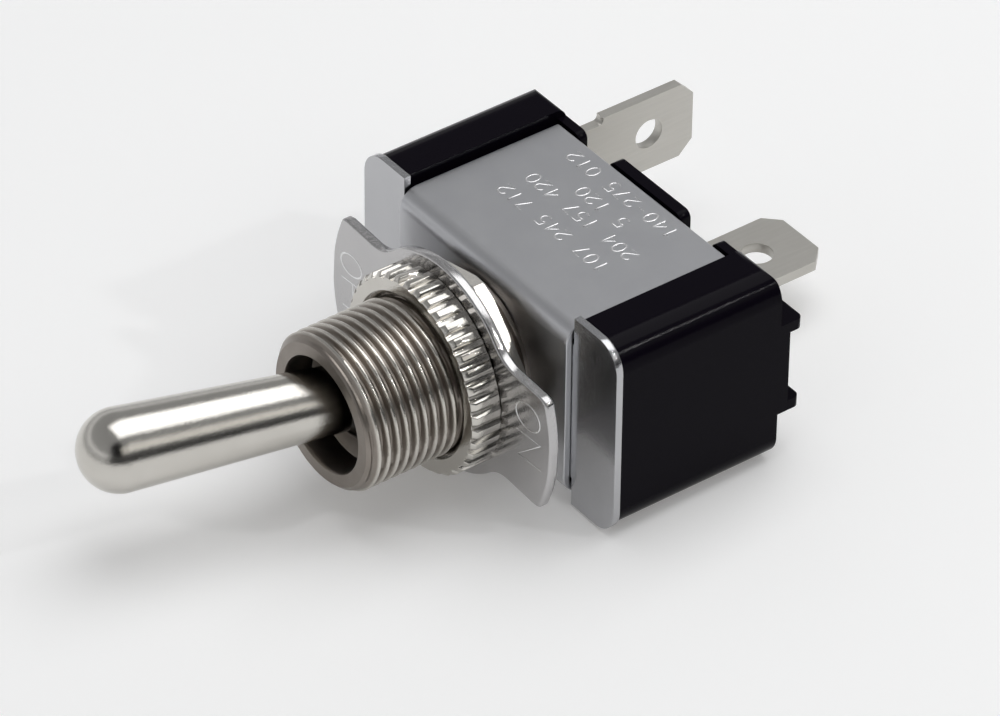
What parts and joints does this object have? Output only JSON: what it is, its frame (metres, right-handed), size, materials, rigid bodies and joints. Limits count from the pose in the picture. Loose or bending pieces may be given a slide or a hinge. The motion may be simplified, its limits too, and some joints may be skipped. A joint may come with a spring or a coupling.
{
  "type": "panel toggle switch",
  "caption": "Single-pole bat-lever toggle switch with threaded bushing, knurled and hexagon nuts, ON-OFF plate, metal frame, black moulded base and push-on tabs at the rear.",
  "frame": {"origin": "on the bushing's axis, halfway along the thread left free ahead of the knurled nut", "axes": "+X along the switch towards the ON end, -Y out of the bushing's mouth towards the lever, +Y towards the terminals, +Z across the switch's thickness"},
  "size_m": [0.0294, 0.0583, 0.0168],
  "materials": {
    "moulded_black": "glossy black thermoset moulding",
    "plated_steel": "satin nickel plate on pressed steel",
    "plated_brass": "satin nickel plate on turned brass",
    "nickel_bright": "bright nickel plate on turned brass",
    "nickel_satin": "satin pressed sheet",
    "steel_pin": "bare drawn steel",
    "insulating_moulding": "matte natural plastic",
    "copper_alloy": "bare rolled copper alloy",
    "silver_contact": "bare silver",
    "tinned_brass": "satin tin plate on brass strip",
    "pressboard": "thin brown insulating board"
  },
  "bodies": {
    "switch": {"base_housing": "moulded_black", "mounting_plate": "plated_steel", "frame_bracket": "plated_steel", "bushing": "plated_brass", "pivot_pin": "steel_pin", "on_off_plate": "nickel_satin", "rocker_pin": "steel_pin", "rocker_cradle": "copper_alloy", "cradle_rivet": "copper_alloy", "fixed_contact": "silver_contact", "terminal_line": "tinned_brass", "terminal_load": "tinned_brass", "insulating_sheet": "pressboard"},
    "lever": {"toggle_lever": "nickel_bright", "lever_spring": "steel_pin"},
    "plunger": {"plunger": "insulating_moulding"},
    "rocker": {"contact_rocker": "copper_alloy", "moving_contact": "silver_contact"},
    "knurled_nut": {"knurled_nut": "nickel_bright"},
    "hex_nut": {"hex_nut": "plated_brass"}
  },
  "joints": [
    {"name": "lever_throw", "type": "hinge", "parent": "switch", "child": "lever", "pos_m": [0, 0.00134, 0], "axis": [0, 0, 1], "range_deg": [0, 29.8]},
    {"name": "rocker_tip", "type": "hinge", "parent": "switch", "child": "rocker", "pos_m": [0, 0.01904, 0], "axis": [0, 0, 1], "range_deg": [-13, 0]},
    {"name": "plunger_slide", "type": "slide", "parent": "lever", "child": "plunger", "axis": [0.2571, 0.9664, 0], "range_m": [0, 0.0011]},
    {"name": "knurled_nut_turn", "type": "hinge", "parent": "switch", "child": "knurled_nut", "pos_m": [0, 0.00484, 0], "axis": [0, -1, 0], "continuous": true},
    {"name": "hex_nut_turn", "type": "hinge", "parent": "switch", "child": "hex_nut", "pos_m": [0, 0.00764, 0], "axis": [0, -1, 0], "continuous": true}
  ],
  "couplings": [
    {"joint": "rocker_tip", "follows": "lever_throw", "ratio": -0.4362}
  ]
}
